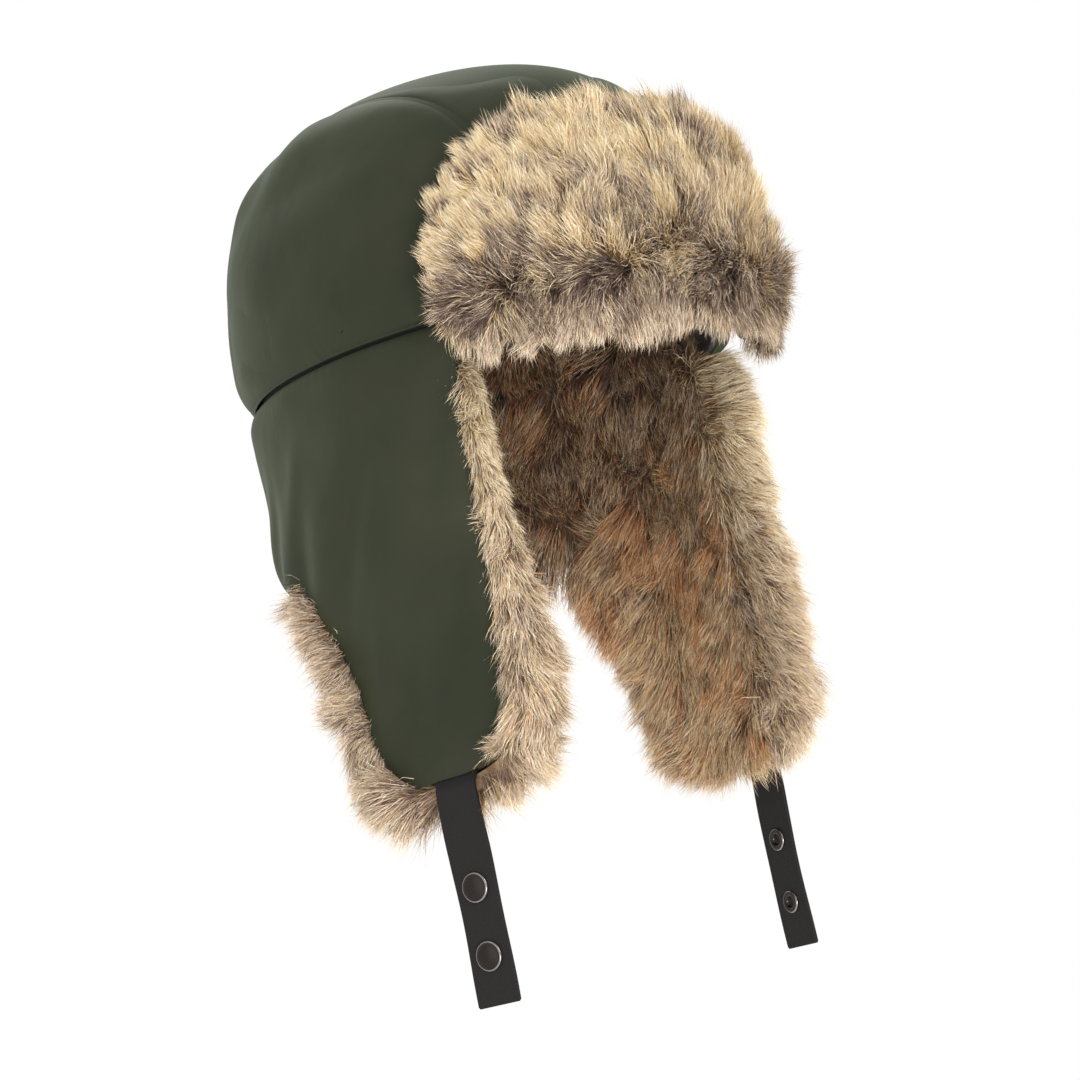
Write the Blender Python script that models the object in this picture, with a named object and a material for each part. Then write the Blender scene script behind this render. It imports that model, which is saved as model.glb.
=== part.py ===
"""Trapper hat: padded nylon crown and neck band, fur visor, two ear flaps and two snap straps.

Metres, +Z up. The wearer looks along -Y and the wearer's left is +X. The origin is the centre of the
head opening, level with the seam that joins the crown to the band. Layers are closed solids that
stand a small gap apart: shell, wadding, then quilted or fur lining, from the outside in.
"""

import math

import bmesh
import bpy
from mathutils import Vector

MM = 0.001
GAP = 0.3

# Crown dome, a superellipsoid that draws in at the seam.
CROWN_HALF_WIDTH = 101.0
CROWN_HALF_LENGTH = 120.5
CROWN_HEIGHT = 124.5
DOME_POWER = 2.8
PINCH = 0.05
PINCH_HEIGHT = 18.0
CENTER_PANEL_HALF_WIDTH = 62.0

# Band below the seam: brow at the front, ears at the sides, neck at the back.
BAND_HALF_WIDTH = 97.5
BAND_HALF_LENGTH = 116.5
SEAM_DRAW_IN = 1.8
SEAM_DRAW_IN_HEIGHT = 12.0
BAND_TOP = -0.8
BROW_HEM = -16.0
NECK_HEM = -80.0
FACE_ANGLE = 57.0
NECK_ANGLE = 119.0

# Layer depths, inwards from the outer surface.
SHELL = (0.0, 1.2)
WADDING = (2.0, 7.2)
LINING = (8.0, 9.6)
SWEATBAND = (8.0, 10.2)
FUR = (8.0, 20.0)

# Ear flap outline as (angle from the front in degrees, height in mm), and the tip's lowest point.
FLAP_TIP = -182.0
FLAP_OUTLINE = (
    (FACE_ANGLE, BROW_HEM - 1.2),
    (FACE_ANGLE + 0.5, -60.0),
    (FACE_ANGLE + 1.0, -110.0),
    (FACE_ANGLE + 1.5, -150.0),
    (63.0, -172.0),
    (71.0, FLAP_TIP + 1.0),
    (81.0, FLAP_TIP - 0.5),
    (90.0, FLAP_TIP),
    (95.5, -170.0),
    (99.0, -145.0),
    (104.0, -118.0),
    (111.0, -98.0),
    (NECK_ANGLE, NECK_HEM - 1.2),
)
FLAP_CENTER = (78.0, -105.0)
TRIM_FRONT = 8.0
TRIM_REAR = 11.0
TRIM_BELOW = 15.0
TRIM_BULGE = 3.0

# Front flap: a curved fur visor that stands against the crown.
VISOR_CLEARANCE = 3.0
VISOR_ANGLE = 55.0
VISOR_FOOT = -18.0
VISOR_TOP = 74.0
VISOR_CORNER = 26.0
VISOR_LEAN = 7.0
VISOR_TRIM = 5.0
VISOR_BACKING = (0.0, 1.2)
VISOR_STIFFENER = (2.0, 2.8)
VISOR_FUR = (4.0, 15.0)

# Chin straps with two snaps each.
STRAP_WIDTH = 20.0
STRAP_THICKNESS = 1.8
STRAP_ANGLE = 77.0
STRAP_ROOT = -199.0
STRAP_END = -276.0
STRAP_CORNER = 3.0
STRAP_DEPTH = 1.0
STRAP_TAB_TOP = FLAP_TIP - 1.6
STRAP_TAB_NOTCH = 8.0
SNAP_FROM_END = 20.0
SNAP_SPACING = 28.0
CAP_RADIUS = 6.25
SOCKET_RADIUS = 5.2
POST_RADIUS = 5.1
STUD_RADIUS = 5.0

# Hinges.
FLAP_HINGE = (BAND_HALF_WIDTH + 1.5, 0.0, BROW_HEM - 0.5)
VISOR_HINGE = (0.0, -(CROWN_HALF_LENGTH + 3.0), VISOR_FOOT)

SIDES = {"right": -1.0, "left": 1.0}


def clear_scene():
    for item in list(bpy.data.objects):
        bpy.data.objects.remove(item, do_unlink=True)


def material(name, color, roughness, metallic=0.0):
    made = bpy.data.materials.new(name)
    made.use_nodes = True
    shader = made.node_tree.nodes["Principled BSDF"]
    shader.inputs["Base Color"].default_value = (*color, 1.0)
    shader.inputs["Roughness"].default_value = roughness
    shader.inputs["Metallic"].default_value = metallic
    return made


LOOKS = {
    "nylon": ((0.062, 0.075, 0.052), 0.42, 0.0),
    "wadding": ((0.80, 0.79, 0.75), 0.95, 0.0),
    "quilt": ((0.030, 0.027, 0.025), 0.60, 0.0),
    "sweatband": ((0.022, 0.020, 0.019), 0.70, 0.0),
    "stiffener": ((0.70, 0.68, 0.62), 0.90, 0.0),
    "fur": ((0.45, 0.33, 0.20), 0.90, 0.0),
    "webbing": ((0.018, 0.018, 0.019), 0.75, 0.0),
    "gunmetal": ((0.11, 0.10, 0.10), 0.30, 1.0),
}


def look(name, kind):
    color, roughness, metallic = LOOKS[kind]
    return material(name, color, roughness, metallic)


def finish(name, mesh, kind, origin=(0.0, 0.0, 0.0)):
    """Makes the named object, in millimetres scaled to metres, with its origin where it turns."""
    pivot = Vector(origin)
    for vert in mesh.verts:
        vert.co = (vert.co - pivot) * MM
    bmesh.ops.remove_doubles(mesh, verts=mesh.verts, dist=1e-7)
    bmesh.ops.dissolve_degenerate(mesh, edges=mesh.edges, dist=1e-7)
    bmesh.ops.recalc_face_normals(mesh, faces=mesh.faces)
    data = bpy.data.meshes.new(name)
    mesh.to_mesh(data)
    mesh.free()
    for face in data.polygons:
        face.use_smooth = True
    item = bpy.data.objects.new(name, data)
    item.location = pivot * MM
    data.materials.append(look(name, kind))
    bpy.context.scene.collection.objects.link(item)
    return item


def layered(outer, inner, closed, pole=False):
    """A closed solid between two grids of points. closed joins the last row to the first.

    pole says that column 0 of each grid is a single point, so it needs no wall.
    """
    mesh = bmesh.new()
    rows = len(outer)
    cols = len(outer[0])
    sheets = [[[mesh.verts.new(p) for p in row] for row in grid] for grid in (outer, inner)]
    spans = rows if closed else rows - 1
    for sheet in sheets:
        for i in range(spans):
            a, b = sheet[i], sheet[(i + 1) % rows]
            for j in range(cols - 1):
                mesh.faces.new((a[j], a[j + 1], b[j + 1], b[j]))
    top, under = sheets
    for i in range(spans):
        k = (i + 1) % rows
        edges = (cols - 1,) if pole else (0, cols - 1)
        for j in edges:
            mesh.faces.new((top[i][j], top[k][j], under[k][j], under[i][j]))
    if not closed:
        for i in (0, rows - 1):
            for j in range(cols - 1):
                mesh.faces.new((top[i][j], top[i][j + 1], under[i][j + 1], under[i][j]))
    return mesh


def steps(low, high, count):
    return [low + (high - low) * i / count for i in range(count + 1)]


# ---------------------------------------------------------------- crown


def pinched(point):
    """Draws a dome point in towards the axis just above the seam."""
    rise = min(max(point.z / PINCH_HEIGHT, 0.0), 1.0)
    scale = 1.0 - PINCH * (1.0 - rise) ** 2
    return Vector((point.x * scale, point.y * scale, point.z))


def dome_slice_point(x, turn, inset):
    """The dome's point in the slice at x, turn degrees round from the front rim over the top."""
    half_width = CROWN_HALF_WIDTH - inset
    half_length = CROWN_HALF_LENGTH - inset
    height = CROWN_HEIGHT - inset
    y = -math.cos(math.radians(turn)) / half_length
    z = max(math.sin(math.radians(turn)), 0.0) / height
    across = (x / half_width) ** 2
    near, far = 0.0, 2.0 * half_length
    for _ in range(50):
        reach = (near + far) / 2
        plan = math.sqrt(across + (reach * y) ** 2)
        if plan ** DOME_POWER + (reach * z) ** DOME_POWER < 1.0:
            near = reach
        else:
            far = reach
    return pinched(Vector((x, near * y * half_length, near * z * height)))


def dome_point(angle, climb, inset):
    """The dome's point at an angle round from the front. climb runs from 0 at the rim to 1 at the top."""
    lift = math.radians(90.0 * climb)
    plan = max(math.cos(lift), 0.0) ** (2 / DOME_POWER)
    rise = math.sin(lift) ** (2 / DOME_POWER)
    turn = math.radians(angle)
    x = (CROWN_HALF_WIDTH - inset) * plan * math.sin(turn)
    y = -(CROWN_HALF_LENGTH - inset) * plan * math.cos(turn)
    return pinched(Vector((x, y, (CROWN_HEIGHT - inset) * rise)))


def center_panel():
    half = CENTER_PANEL_HALF_WIDTH - GAP / 2
    grids = [
        [[dome_slice_point(x, turn, depth) for turn in steps(0, 180, 28)] for x in steps(-half, half, 10)]
        for depth in SHELL
    ]
    finish("crown_center_panel", layered(*grids, closed=False), "nylon")


def side_panel(side, sign):
    grids = []
    for depth in SHELL:
        half_width = CROWN_HALF_WIDTH - depth
        start = math.asin((CENTER_PANEL_HALF_WIDTH + GAP / 2) / half_width)
        slices = [half_width * math.sin(a) for a in steps(start, math.pi / 2, 9)]
        grids.append([[dome_slice_point(sign * x, turn, depth) for turn in steps(0, 180, 28)] for x in slices])
    finish("crown_side_panel_" + side, layered(*grids, closed=False), "nylon")


def dome_layer(name, depths, kind, rounds, rings):
    grids = [
        [[dome_point(360 * i / rounds, 1 - j / rings, depth) for j in range(rings + 1)] for i in range(rounds)]
        for depth in depths
    ]
    finish(name, layered(*grids, closed=True, pole=True), kind)


# ---------------------------------------------------------------- band


def band_point(angle, height, inset):
    """A point on the upright band surface, drawn in a little at the seam."""
    near_seam = min(max(1.0 + height / SEAM_DRAW_IN_HEIGHT, 0.0), 1.0)
    depth = inset + SEAM_DRAW_IN * near_seam ** 2
    turn = math.radians(angle)
    x = (BAND_HALF_WIDTH - depth) * math.sin(turn)
    y = -(BAND_HALF_LENGTH - depth) * math.cos(turn)
    return Vector((x, y, height))


def band_hem(angle):
    """The band's lower edge: level at the brow, falling past the ears, level at the neck."""
    from_front = abs((angle + 180.0) % 360.0 - 180.0)
    share = min(max((from_front - FACE_ANGLE) / (NECK_ANGLE - FACE_ANGLE), 0.0), 1.0)
    return BROW_HEM + (NECK_HEM - BROW_HEM) * share


def strip(angles, depths, top, rise, closed):
    """Band grids from a top height down to the hem raised by rise."""
    return [
        [[band_point(a, h, depth) for h in steps(top, band_hem(a) + rise, 5)] for a in angles]
        for depth in depths
    ]


def band():
    around = [360.0 * i / 64 for i in range(64)]
    finish("band_shell", layered(*strip(around, SHELL, BAND_TOP, 0.0, True), closed=True), "nylon")
    finish("band_wadding", layered(*strip(around, WADDING, BAND_TOP - 1.5, 2.0, True), closed=True), "wadding")
    back = steps(FACE_ANGLE + 3.0, 357.0 - FACE_ANGLE, 40)
    finish("neck_fur", layered(*strip(back, FUR, BAND_TOP - 3.0, 1.0, False), closed=False), "fur")
    front = steps(-FACE_ANGLE + 1.0, FACE_ANGLE - 1.0, 20)
    grids = [[[band_point(a, h, depth) for h in steps(BAND_TOP - 1.0, BROW_HEM + 1.0, 3)] for a in front]
             for depth in SWEATBAND]
    finish("sweatband", layered(*grids, closed=False), "sweatband")


# ---------------------------------------------------------------- ear flaps


def between(center, edge_point, share):
    return tuple(c + (e - c) * share for c, e in zip(center, edge_point))


def smooth_curve(points, count):
    """count points along an open Catmull-Rom curve, from the first point up to the last."""
    made = []
    last = len(points) - 1
    for k in range(count):
        place = last * k / (count - 1)
        i = min(int(place), last - 1)
        t = place - i
        a, b, c, d = (points[min(max(i + o, 0), last)] for o in (-1, 0, 1, 2))
        made.append(tuple(
            0.5 * (2 * q + (r - p) * t + (2 * p - 5 * q + 4 * r - s) * t * t + (3 * q - p - 3 * r + s) * t ** 3)
            for p, q, r, s in zip(a, b, c, d)
        ))
    return made


def flap_edge():
    """The flap's closed outline: the free edge, then the straight fold back up to the brow."""
    free = smooth_curve(FLAP_OUTLINE, 31)
    fold = [between(FLAP_OUTLINE[-1], FLAP_OUTLINE[0], k / 9) for k in range(1, 9)]
    return free + fold


def trim_edge(edge):
    """The fur trim's outer edge: past the shell at the front, tip and rear, flush along the fold."""
    made = []
    for angle, height in edge:
        down = min(max((BROW_HEM - 4.0 - height) / 30.0, 0.0), 1.0)
        forward = TRIM_FRONT * down if angle < 68.0 else 0.0
        low = min(max((-150.0 - height) / 30.0, 0.0), 1.0)
        fold = band_hem(angle)
        behind = min(max((fold - 1.0 - height) / 12.0, 0.0), 1.0)
        backward = TRIM_REAR * behind if angle > 88.0 else 0.0
        made.append((angle - forward + backward, height - TRIM_BELOW * low))
    return made


def flap_pad(name, side, sign, depths, kind, shrink, rings):
    """A flap layer: rings of points from the flap's centre out to its edge."""
    edge = flap_edge()
    shares = [shrink * j / rings for j in range(rings + 1)]
    grids = [
        [[band_point(sign * a, h, depth) for a, h in (between(FLAP_CENTER, e, s) for s in shares)] for e in edge]
        for depth in depths
    ]
    item = layered(*grids, closed=True, pole=True)
    hinge = (sign * FLAP_HINGE[0], FLAP_HINGE[1], FLAP_HINGE[2])
    finish(name + "_" + side, item, kind, hinge)


def flap_fur(side, sign):
    """The fur lining, which rolls out round the shell's edge as a trim and lies behind the strap."""
    edge = flap_edge()
    trim = trim_edge(edge)
    outer, inner = [], []
    for e, t in zip(edge, trim):
        spread = math.hypot(e[0] - t[0], e[1] - t[1])
        bulge = -TRIM_BULGE if spread > 3.0 else FUR[0]
        if abs(e[0] - STRAP_ANGLE) < STRAP_TAB_NOTCH and e[1] < -150.0:
            bulge = STRAP_DEPTH + STRAP_THICKNESS + 1.0
        over = [(between(FLAP_CENTER, e, s), FUR[0]) for s in (0.0, 0.35, 0.7, 1.004)]
        over += [(between(e, t, 0.1), bulge), (between(e, t, 0.55), bulge - 1.0), (t, max(bulge, 5.0))]
        under = [(between(FLAP_CENTER, e, s), FUR[1]) for s in (0.0, 0.35, 0.7, 1.0)]
        under += [(between(e, t, 0.1), FUR[1]), (between(e, t, 0.55), FUR[1] - 1.0), (t, FUR[1] - 6.0)]
        if spread <= 3.0:
            over = over[:4] + [over[3]] * 3
            under = under[:4] + [under[3]] * 3
        outer.append([band_point(sign * a, h, depth) for (a, h), depth in over])
        inner.append([band_point(sign * a, h, depth) for (a, h), depth in under])
    hinge = (sign * FLAP_HINGE[0], FLAP_HINGE[1], FLAP_HINGE[2])
    finish("ear_fur_" + side, layered(outer, inner, closed=True, pole=True), "fur", hinge)


# ---------------------------------------------------------------- visor


def visor_point(angle, height, depth):
    """A point on the visor's surface. depth grows away from the crown."""
    lean = VISOR_LEAN * (max(height, 0.0) / VISOR_TOP) ** 2
    reach = VISOR_CLEARANCE + depth - lean
    turn = math.radians(angle)
    x = (CROWN_HALF_WIDTH + reach) * math.sin(turn)
    y = -(CROWN_HALF_LENGTH + reach) * math.cos(turn)
    return Vector((x, y, height))


def visor_edge(grow, count):
    """A rounded rectangle in (angle, height). grow pushes it out by that many millimetres."""
    radius = (CROWN_HALF_WIDTH + CROWN_HALF_LENGTH) / 2
    degrees = 180.0 / (math.pi * radius)
    half = VISOR_ANGLE + grow * degrees
    low = VISOR_FOOT
    high = VISOR_TOP + grow
    corner = VISOR_CORNER
    made = []
    for k in range(count):
        turn = 2 * math.pi * k / count
        c, s = math.cos(turn), math.sin(turn)
        a = math.copysign(abs(c) ** 0.55, c) * half
        if s > 0:
            h = low + corner + abs(s) ** 0.7 * (high - low - corner)
        else:
            h = low + corner - abs(s) ** 0.7 * corner
        made.append((a, h))
    return made


def visor_pad(name, depths, kind, grow, dome):
    """A visor layer. dome is how far its faces swell at the middle."""
    edge = visor_edge(grow, 48)
    center = (0.0, (VISOR_FOOT + VISOR_TOP) / 2)
    shares = [0.0, 0.17, 0.34, 0.5, 0.66, 0.81, 0.93, 1.0]
    grids = []
    for depth, swell in zip(depths, (0.0, dome)):
        rows = []
        for e in edge:
            row = [(between(center, e, s), depth + (swell * (1 - s ** 4) if swell else 0.0)) for s in shares]
            rows.append([visor_point(a, h, d) for (a, h), d in row])
        grids.append(rows)
    finish(name, layered(*grids, closed=True, pole=True), kind, VISOR_HINGE)


# ---------------------------------------------------------------- straps and snaps


class StrapFrame:
    """Axes of one hanging strap: out along the flap's normal, across its width, and down."""

    def __init__(self, sign):
        turn = math.radians(STRAP_ANGLE)
        normal = Vector((sign * math.sin(turn) / BAND_HALF_WIDTH, -math.cos(turn) / BAND_HALF_LENGTH, 0.0))
        self.out = normal.normalized()
        self.across = Vector((0.0, 0.0, 1.0)).cross(self.out)
        self.root = band_point(sign * STRAP_ANGLE, STRAP_ROOT, STRAP_DEPTH)

    def place(self, out, across, height):
        return self.root + self.out * out + self.across * across + Vector((0.0, 0.0, height - STRAP_ROOT))


def flat_piece(name, frame, profile, origin):
    """A strip of webbing cut to a profile of (across, height)."""
    mesh = bmesh.new()
    faces = []
    for out in (STRAP_THICKNESS / 2, -STRAP_THICKNESS / 2):
        faces.append([mesh.verts.new(frame.place(out, a, h)) for a, h in profile])
    for ring in faces:
        mesh.faces.new(ring)
    total = len(profile)
    for i in range(total):
        k = (i + 1) % total
        mesh.faces.new((faces[0][i], faces[0][k], faces[1][k], faces[1][i]))
    item = finish(name, mesh, "webbing", origin)
    for face in item.data.polygons:
        face.use_smooth = False


def strap(side, sign):
    """The sewn end down to the trim's lower edge, and the free length that swings below it."""
    frame = StrapFrame(sign)
    half = STRAP_WIDTH / 2
    corner = STRAP_CORNER
    tab_foot = STRAP_ROOT + STRAP_THICKNESS
    tab = [(-half, STRAP_TAB_TOP), (half, STRAP_TAB_TOP), (half, tab_foot), (-half, tab_foot)]
    flat_piece("strap_tab_" + side, frame, tab, (sign * FLAP_HINGE[0], FLAP_HINGE[1], FLAP_HINGE[2]))
    profile = [(-half, STRAP_ROOT), (half, STRAP_ROOT)]
    for cx, start in ((half - corner, 0.0), (-half + corner, 90.0)):
        for turn in steps(start, start + 90.0, 4):
            t = math.radians(turn)
            profile.append((cx + corner * math.cos(t), STRAP_END + corner - corner * math.sin(t)))
    flat_piece("strap_" + side, frame, profile, tuple(frame.root))
    return frame


def turned(name, frame, height, face, profile, kind):
    """A round snap piece: profile is (radius, distance from the strap face), first point to last."""
    mesh = bmesh.new()
    count = 20
    rings = []
    for radius, rise in profile:
        out = face * (STRAP_THICKNESS / 2 + GAP + rise)
        if radius == 0.0:
            rings.append([mesh.verts.new(frame.place(out, 0.0, height))])
            continue
        rings.append([
            mesh.verts.new(frame.place(
                out,
                radius * math.cos(2 * math.pi * k / count),
                height + radius * math.sin(2 * math.pi * k / count),
            ))
            for k in range(count)
        ])
    for a, b in zip(rings, rings[1:] + rings[:1]):
        if len(a) == 1 and len(b) == 1:
            continue
        for k in range(count):
            n = (k + 1) % count
            loop = [a[k % len(a)], a[n % len(a)], b[n % len(b)], b[k % len(b)]]
            unique = list(dict.fromkeys(loop))
            if len(unique) >= 3:
                mesh.faces.new(unique)
    finish(name, mesh, kind, tuple(frame.root))


def cap_profile():
    r = CAP_RADIUS
    return [(0.0, 0.0), (r - 0.9, 0.0), (r - 0.2, 0.25), (r, 0.7), (r - 0.35, 1.2), (r - 1.3, 1.5), (0.0, 1.75)]


def socket_profile():
    r = SOCKET_RADIUS
    return [
        (0.0, 0.0), (r - 0.4, 0.0), (r, 0.4), (r, 1.4), (r - 0.6, 2.0), (2.9, 2.0), (2.2, 1.6), (2.2, 0.7), (0.0, 0.7),
    ]


def stud_profile():
    r = STUD_RADIUS
    return [(0.0, 0.0), (r - 0.3, 0.0), (r, 0.4), (r - 0.5, 0.9), (2.2, 1.1), (1.9, 1.7), (2.3, 2.4), (1.9, 3.0),
            (0.0, 3.2)]


def post_profile():
    r = POST_RADIUS
    return [(0.0, 0.0), (r - 0.3, 0.0), (r, 0.35), (r - 0.4, 0.9), (2.6, 1.1), (1.9, 0.8), (1.7, 0.5), (0.0, 0.5)]


def snaps(side, frame):
    outer, inner = {
        "right": (("snap_cap", cap_profile), ("snap_socket", socket_profile)),
        "left": (("snap_stud", stud_profile), ("snap_post", post_profile)),
    }[side]
    lowest = STRAP_END + SNAP_FROM_END
    for place, height in (("lower", lowest), ("upper", lowest + SNAP_SPACING)):
        for (kind, profile), face in ((outer, 1.0), (inner, -1.0)):
            turned(kind + "_" + place + "_" + side, frame, height, face, profile(), "gunmetal")


def main():
    clear_scene()
    center_panel()
    dome_layer("crown_wadding", WADDING, "wadding", 32, 10)
    dome_layer("crown_lining", LINING, "quilt", 32, 9)
    band()
    visor_pad("visor_backing", VISOR_BACKING, "nylon", 0.0, 0.0)
    visor_pad("visor_stiffener", VISOR_STIFFENER, "stiffener", -2.0, 0.0)
    visor_pad("visor_fur", VISOR_FUR, "fur", VISOR_TRIM, 4.0)
    for side, sign in SIDES.items():
        side_panel(side, sign)
        flap_pad("ear_shell", side, sign, SHELL, "nylon", 1.0, 6)
        flap_pad("ear_wadding", side, sign, WADDING, "wadding", 0.97, 6)
        flap_fur(side, sign)
        snaps(side, strap(side, sign))


main()
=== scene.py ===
"""The trapper hat's looks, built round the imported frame: puffed nylon, long-pile fur, webbing and snaps."""

import math

import bmesh
import bpy
import numpy as np
from mathutils import Matrix, Vector, kdtree


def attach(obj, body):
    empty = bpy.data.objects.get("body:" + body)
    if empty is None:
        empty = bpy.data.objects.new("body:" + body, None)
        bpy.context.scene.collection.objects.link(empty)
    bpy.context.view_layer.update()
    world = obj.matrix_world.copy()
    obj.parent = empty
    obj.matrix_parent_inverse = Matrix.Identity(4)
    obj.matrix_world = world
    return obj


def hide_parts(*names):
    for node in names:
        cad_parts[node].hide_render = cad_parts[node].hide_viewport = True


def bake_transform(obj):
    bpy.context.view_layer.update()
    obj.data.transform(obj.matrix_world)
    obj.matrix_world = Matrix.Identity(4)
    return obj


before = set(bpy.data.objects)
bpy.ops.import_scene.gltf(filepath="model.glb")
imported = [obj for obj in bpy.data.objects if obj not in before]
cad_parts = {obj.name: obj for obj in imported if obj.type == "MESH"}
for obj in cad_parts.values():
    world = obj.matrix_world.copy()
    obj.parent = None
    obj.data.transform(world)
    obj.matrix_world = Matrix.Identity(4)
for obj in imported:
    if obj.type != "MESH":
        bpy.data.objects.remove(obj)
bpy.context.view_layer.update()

MM = 0.001
RNG_SEED = 7

# The crown's dome and the band, as in the frame: lengths in millimetres, and angles in degrees from
# the front. Heights are above the seam between the two.
CROWN = (101.0, 120.5, 124.5)
DOME_POWER = 2.8
PINCH = 0.05
PINCH_HEIGHT = 18.0
CENTER_PANEL_HALF_WIDTH = 62.0
BAND = (97.5, 116.5)
BROW_HEM = -16.0
NECK_HEM = -80.0
FACE_ANGLE = 57.0
NECK_ANGLE = 119.0
FLAP_TIP = -182.0
FLAP_CENTER = (78.0, -105.0)
# An ear flap's free edge, from the brow round its tip to the nape, as angles and heights.
FLAP_OUTLINE = (
    (57.0, -16.0), (57.5, -60.0), (58.0, -110.0), (58.5, -150.0), (63.0, -172.0), (71.0, -181.0),
    (81.0, -182.5), (90.0, -182.0), (95.5, -170.0), (99.0, -145.0), (104.0, -118.0), (111.0, -98.0),
    (119.0, -80.0),
)
# How far a flap's front trim is splayed outwards, from 0 to 1, and how far each trim reaches.
FRONT_FLARE = {"right": 0.05, "left": 0.9}
TRIM_FRONT_TOP = 6.0
TRIM_FRONT = 11.0
TRIM_REAR = 11.0
TRIM_BELOW = 13.0

VISOR_ANGLE = 55.0
VISOR_FOOT = -18.0
VISOR_TOP = 68.0
VISOR_CORNER = 26.0
VISOR_LEAN = 7.0

STRAP_WIDTH = 20.0
STRAP_THICKNESS = 1.8
STRAP_ANGLE = 77.0
STRAP_TOP = -179.0
STRAP_ROOT = -199.0
STRAP_END = -276.0
STRAP_DEPTH = 1.0
STRAP_CORNER = 0.8
SNAP_FROM_END = 20.0
SNAP_SPACING = 28.0

SIDES = {"right": -1.0, "left": 1.0}

# Distances round the hat, for patterns that are laid out in millimetres.
MEAN_RADIUS = 106.0
BAND_MM_PER_DEGREE = 1.87
CROWN_MM_PER_DEGREE = 1.9
VISOR_DEGREES_PER_MM = 0.517
SIDE_PANEL_HEIGHT = 98.0

# How far below the band's outer surface the layers inside it lie.
PAD_OUTER = 8.2
PAD_INNER = 12.5

# The camera, level with the ground, and the hat pitched back in front of it.
CAMERA_TURN = -44.3
HAT_PITCH = 16.8
CAMERA_DISTANCE = 1.433
CAMERA_LENS = 108.6
AIM_RIGHT = 0.0241
AIM_UP = -0.0778

# The pale floor, in millimetres.
FLOOR_REACH = 4000.0
FLOOR_HEIGHT = -900.0
SQUARE = ((-1, -1), (1, -1), (1, 1), (-1, 1))


# ---------------------------------------------------------------- maths


def unit(v):
    return v / np.maximum(np.linalg.norm(v, axis=-1, keepdims=True), 1e-9)


def smooth(low, high, x):
    t = np.clip((x - low) / (high - low), 0.0, 1.0)
    return t * t * (3.0 - 2.0 * t)


def waves(points, length, seed, count=7):
    """Smooth noise between about -1 and 1 that changes over the given length in millimetres."""
    rng = np.random.default_rng(seed)
    total = np.zeros(points.shape[:-1])
    for _ in range(count):
        way = unit(rng.normal(size=3)) * (2 * math.pi / length) * rng.uniform(0.6, 1.5)
        bend = 0.6 * np.sin(points @ (way[[1, 2, 0]] * 0.7) + rng.uniform(0, 6.3))
        total += np.sin(points @ way + bend + rng.uniform(0, 6.3))
    return total / math.sqrt(count * 0.9)


def grid_normals(grid, outward):
    """Unit normals of a grid of points, turned the way outward points."""
    du = np.gradient(grid, axis=0)
    dv = np.gradient(grid, axis=1)
    n = unit(np.cross(du, dv))
    flip = np.sign((n * outward).sum(-1, keepdims=True))
    return n * np.where(flip == 0, 1, flip)


# ---------------------------------------------------------------- surfaces


def pinched(p):
    """The dome drawn in a little at its foot, where it is gathered into the band's seam."""
    rise = np.clip(p[..., 2] / PINCH_HEIGHT, 0.0, 1.0)
    scale = 1.0 - PINCH * (1.0 - rise) ** 2
    return np.stack([p[..., 0] * scale, p[..., 1] * scale, p[..., 2]], -1)


def dome_slice(x, turn):
    """Points of the dome in slices at x, turn degrees from the front rim over the top."""
    half_width, half_length, height = CROWN
    x, turn = np.broadcast_arrays(x, turn)
    y = -np.cos(np.radians(turn)) / half_length
    z = np.maximum(np.sin(np.radians(turn)), 0.0) / height
    near = np.zeros(x.shape)
    far = np.full(x.shape, 2.0 * half_length)
    for _ in range(40):
        reach = (near + far) / 2
        plan = np.sqrt((x / half_width) ** 2 + (reach * y) ** 2)
        inside = plan ** DOME_POWER + (reach * z) ** DOME_POWER < 1.0
        near = np.where(inside, reach, near)
        far = np.where(inside, far, reach)
    return pinched(np.stack([x, near * y * half_length, near * z * height], -1))


def inside_dome(lift, angle, inset):
    """Points of the dome at inset below its surface, lift degrees above the rim."""
    rise, turn = np.radians(lift), np.radians(angle)
    plan = np.maximum(np.cos(rise), 0.0) ** (2 / DOME_POWER)
    x = (CROWN[0] - inset) * plan * np.sin(turn)
    y = -(CROWN[1] - inset) * plan * np.cos(turn)
    z = (CROWN[2] - inset) * np.sin(rise) ** (2 / DOME_POWER) + 0 * x
    return pinched(np.stack([x, y, z], -1))


def band_surface(angle, height, inset=0.0):
    """The band and flaps' outer surface, at degrees from the front and a height, or inset below it."""
    near_seam = np.clip(1.0 + height / 12.0, 0.0, 1.0)
    depth = inset + 1.8 * near_seam ** 2
    turn = np.radians(angle)
    x = (BAND[0] - depth) * np.sin(turn)
    y = -(BAND[1] - depth) * np.cos(turn)
    return np.stack(np.broadcast_arrays(x, y, height + 0.0 * x), -1)


def band_hem(angle):
    """The height of the band's lower edge: high at the brow and low at the neck."""
    from_front = np.abs((angle + 180.0) % 360.0 - 180.0)
    share = np.clip((from_front - FACE_ANGLE) / (NECK_ANGLE - FACE_ANGLE), 0.0, 1.0)
    return BROW_HEM + (NECK_HEM - BROW_HEM) * share


def smooth_curve(points, count):
    """count points along an open Catmull-Rom curve."""
    p = np.array(points)
    last = len(p) - 1
    place = np.linspace(0, last, count)
    i = np.minimum(place.astype(int), last - 1)
    t = (place - i)[:, None]
    a, b, c, d = (p[np.clip(i + step, 0, last)] for step in (-1, 0, 1, 2))
    square = 2 * a - 5 * b + 4 * c - d
    cube = 3 * b - a - 3 * c + d
    return 0.5 * (2 * b + (c - a) * t + square * t ** 2 + cube * t ** 3)


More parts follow.
